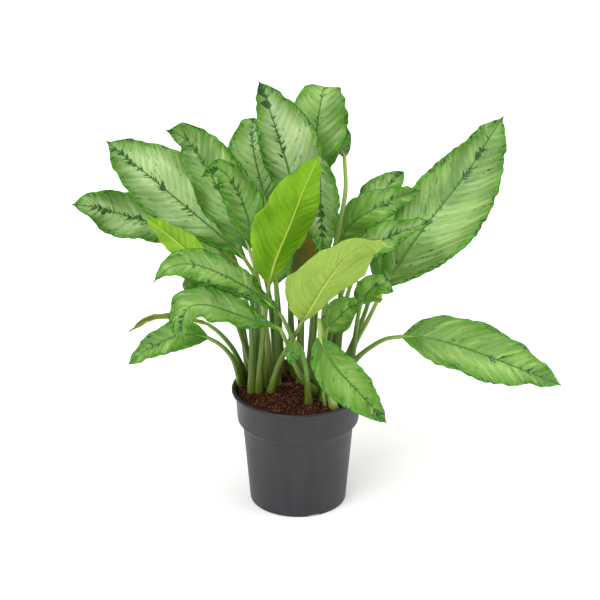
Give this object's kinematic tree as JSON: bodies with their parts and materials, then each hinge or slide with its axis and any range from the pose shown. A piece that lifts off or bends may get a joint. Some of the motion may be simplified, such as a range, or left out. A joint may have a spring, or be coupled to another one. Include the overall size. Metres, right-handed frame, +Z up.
{
  "type": "potted chinese evergreen",
  "caption": "Clump-forming foliage plant with broad pointed leaves on long arching stalks, standing in a round tapered plastic grower's pot filled with potting mix.",
  "frame": {"origin": "centre of the pot's flat base, on the surface it stands on", "axes": "+Z up along the pot's axis, +X along the plant's widest spread, -Y towards the front"},
  "size_m": [0.687, 0.4107, 0.612],
  "materials": {
    "pot_plastic": "moulded dark grey plastic, matte, slightly worn along the lip",
    "soil_mix": "loose reddish brown coir and bark crumbs",
    "leaf_green": "satin living leaf, silvery green with dark green margin and flecks along the midrib",
    "dried_leaf": "dry curled leaf, olive with a brown tip",
    "shoot_green": "smooth green shoot with a paler sheath"
  },
  "bodies": {
    "root": {"pot": "pot_plastic", "soil": "soil_mix", "cane_left": "shoot_green", "cane_centre": "shoot_green", "cane_right": "shoot_green", "cane_front": "shoot_green", "cane_back": "shoot_green", "leaf_crown_tall": "leaf_green", "leaf_crown_right": "leaf_green", "leaf_crown_back": "leaf_green", "leaf_left_high": "leaf_green", "leaf_left_folded": "leaf_green", "leaf_left_inner": "leaf_green", "leaf_far_left": "leaf_green", "leaf_left_bright": "leaf_green", "leaf_front_underside": "leaf_green", "leaf_right_large": "leaf_green", "leaf_right_drooping": "leaf_green", "leaf_over_rim": "leaf_green", "leaf_centre_underside": "leaf_green", "leaf_left_arching": "leaf_green", "leaf_left_front": "leaf_green", "leaf_left_small": "leaf_green", "leaf_left_hanging": "leaf_green", "leaf_low_left": "leaf_green", "leaf_dried": "dried_leaf", "leaf_inner_upright": "leaf_green", "leaf_inner_olive": "leaf_green", "leaf_inner_hanging": "leaf_green", "leaf_inner_right": "leaf_green", "leaf_back_right_high": "leaf_green", "leaf_right_silver": "leaf_green", "leaf_right_curled": "leaf_green", "leaf_centre_low": "leaf_green", "leaf_new_small": "leaf_green", "leaf_tall_stalk": "leaf_green", "leaf_back_left": "leaf_green", "leaf_back_middle": "leaf_green", "leaf_back_right": "leaf_green", "leaf_back_low_left": "leaf_green", "leaf_back_low_right": "leaf_green"}
  },
  "joints": []
}
